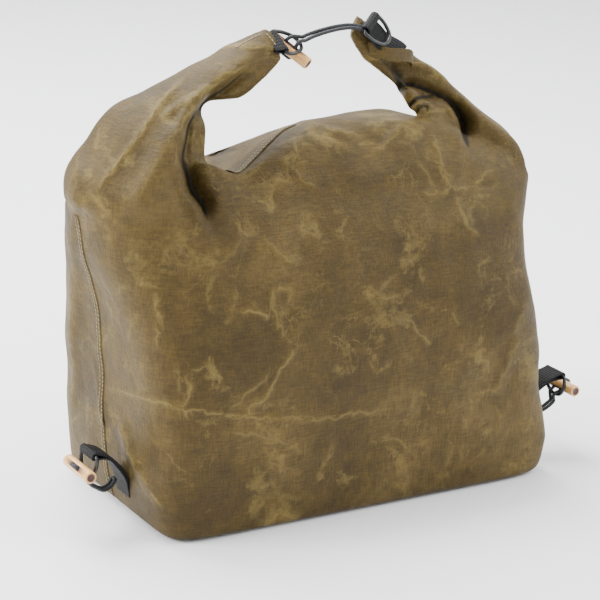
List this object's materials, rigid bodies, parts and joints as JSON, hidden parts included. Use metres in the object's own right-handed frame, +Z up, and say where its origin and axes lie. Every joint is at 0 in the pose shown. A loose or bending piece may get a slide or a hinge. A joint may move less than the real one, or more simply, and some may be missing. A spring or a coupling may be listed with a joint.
{
  "type": "roll-top pannier bag",
  "caption": "Roll-top waxed canvas bag for a bicycle basket or rail, its rolled mouth drawn up and clipped into a carry loop with shock cord, D-rings and wooden toggles.",
  "frame": {"origin": "on the floor, under the middle of the bag and its two lower hooks", "axes": "+Z up, +X to the bag's right along its mouth, +Y to its back"},
  "size_m": [0.4718, 0.2, 0.3783],
  "materials": {
    "waxed_canvas": "waxed, creased",
    "hem_tape": "waxed, folded and sewn",
    "webbing": "black woven",
    "coated_wire": "black satin coat",
    "shock_cord": "braided, dark grey",
    "birch_dowel": "sanded, oiled",
    "sewing_thread": "bonded thread"
  },
  "bodies": {
    "bag": {"base_panel": "waxed_canvas", "front_panel": "waxed_canvas", "back_panel": "waxed_canvas", "left_side_seam": "hem_tape", "right_side_seam": "hem_tape", "rolled_mouth": "waxed_canvas", "mouth_hem": "hem_tape", "left_hook_tab": "webbing", "left_hook_cord": "shock_cord", "right_hook_tab": "webbing", "right_hook_cord": "shock_cord"},
    "carry_loop": {"left_arm": "waxed_canvas", "right_arm": "waxed_canvas", "left_end_tab": "webbing", "right_end_tab": "webbing", "closure_cord": "shock_cord"},
    "right_end_ring": {"right_end_ring": "coated_wire"},
    "closure_ring": {"closure_ring": "coated_wire"},
    "closure_toggle": {"closure_toggle": "birch_dowel", "closure_cord_bight": "shock_cord"},
    "left_hook_ring": {"left_hook_ring": "coated_wire"},
    "left_hook_toggle": {"left_hook_toggle": "birch_dowel", "left_hook_cord_bight": "shock_cord"},
    "right_hook_ring": {"right_hook_ring": "coated_wire"},
    "right_hook_toggle": {"right_hook_toggle": "birch_dowel", "right_hook_cord_bight": "shock_cord"}
  },
  "joints": [
    {"name": "carry_loop_tip", "type": "hinge", "parent": "bag", "child": "carry_loop", "pos_m": [0, 0, 0.262], "axis": [1, 0, 0], "range_deg": [-20, 20]},
    {"name": "right_end_ring_flip", "type": "hinge", "parent": "carry_loop", "child": "right_end_ring", "pos_m": [0.0361, -0.008, 0.3708], "axis": [-0.7429, -0.5419, -0.3929], "range_deg": [0, 150]},
    {"name": "closure_ring_swing", "type": "hinge", "parent": "carry_loop", "child": "closure_ring", "pos_m": [-0.042, 0, 0.3588], "axis": [0.0691, -0.8648, -0.4974], "range_deg": [-12, 12], "stiffness_Nm_per_rad": 0.05},
    {"name": "closure_toggle_turn", "type": "hinge", "parent": "closure_ring", "child": "closure_toggle", "pos_m": [-0.02993, 0.00484, 0.35205], "axis": [0.1199, -0.4878, 0.8647], "range_deg": [-40, 8], "stiffness_Nm_per_rad": 0.03},
    {"name": "left_hook_ring_swing", "type": "hinge", "parent": "bag", "child": "left_hook_ring", "pos_m": [-0.2195, -0.045, 0.066], "axis": [0, -1, 0], "range_deg": [-30, 5], "stiffness_Nm_per_rad": 0.05},
    {"name": "left_hook_toggle_turn", "type": "hinge", "parent": "left_hook_ring", "child": "left_hook_toggle", "pos_m": [-0.22776, -0.045, 0.0539], "axis": [0.9928, 0, -0.12], "range_deg": [-30, 30], "stiffness_Nm_per_rad": 0.03},
    {"name": "right_hook_ring_swing", "type": "hinge", "parent": "bag", "child": "right_hook_ring", "pos_m": [0.2195, -0.045, 0.066], "axis": [0, 1, 0], "range_deg": [-30, 5], "stiffness_Nm_per_rad": 0.05},
    {"name": "right_hook_toggle_turn", "type": "hinge", "parent": "right_hook_ring", "child": "right_hook_toggle", "pos_m": [0.22776, -0.045, 0.0539], "axis": [-0.9928, 0, -0.12], "range_deg": [-30, 30], "stiffness_Nm_per_rad": 0.03}
  ]
}
